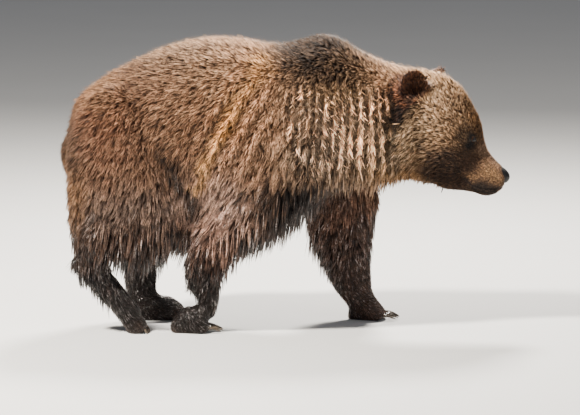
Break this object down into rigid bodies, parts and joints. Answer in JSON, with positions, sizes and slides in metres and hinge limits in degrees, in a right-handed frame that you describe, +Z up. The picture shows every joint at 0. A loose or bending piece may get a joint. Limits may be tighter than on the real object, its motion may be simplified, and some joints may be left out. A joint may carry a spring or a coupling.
{
  "type": "grizzly bear",
  "caption": "Life-size still model of a grizzly bear in mid-stride, head lowered, with its coat, eyes, nose and claws.",
  "frame": {"origin": "on the floor, under the middle of the bear's box", "axes": "+X towards the head, +Y to the bear's left, +Z up"},
  "size_m": [1.5248, 0.5254, 1.0009],
  "materials": {
    "coat_body": "long brown fur with paler, grizzled tips",
    "coat_head": "shorter golden tan fur, dark brown round the eyes and jaw",
    "coat_legs": "wet, very dark brown fur in strings",
    "claws": "dark horn, smooth and a little worn",
    "eyes": "wet, dark brown eyeball",
    "nose": "moist, finely pebbled black skin"
  },
  "bodies": {
    "root": {"hindquarters": "coat_body", "barrel": "coat_body", "forequarters": "coat_body", "neck": "coat_body", "tail": "coat_body", "head": "coat_head", "lower_jaw": "coat_head", "ear_right": "coat_head", "ear_left": "coat_head", "foreleg_right_upper": "coat_body", "hindleg_right_thigh": "coat_body", "foreleg_right_forearm": "coat_legs", "foreleg_right_paw": "coat_legs", "hindleg_right_shank": "coat_legs", "hindleg_right_paw": "coat_legs", "foreleg_right_claw_1": "claws", "foreleg_right_claw_2": "claws", "foreleg_right_claw_3": "claws", "foreleg_right_claw_4": "claws", "foreleg_right_claw_5": "claws", "hindleg_right_claw_1": "claws", "hindleg_right_claw_2": "claws", "hindleg_right_claw_3": "claws", "hindleg_right_claw_4": "claws", "hindleg_right_claw_5": "claws", "foreleg_left_upper": "coat_body", "hindleg_left_thigh": "coat_body", "foreleg_left_forearm": "coat_legs", "foreleg_left_paw": "coat_legs", "hindleg_left_shank": "coat_legs", "hindleg_left_paw": "coat_legs", "foreleg_left_claw_1": "claws", "foreleg_left_claw_2": "claws", "foreleg_left_claw_3": "claws", "foreleg_left_claw_4": "claws", "foreleg_left_claw_5": "claws", "hindleg_left_claw_1": "claws", "hindleg_left_claw_2": "claws", "hindleg_left_claw_3": "claws", "hindleg_left_claw_4": "claws", "hindleg_left_claw_5": "claws", "eye_right": "eyes", "eye_left": "eyes", "nose_pad": "nose"}
  },
  "joints": []
}
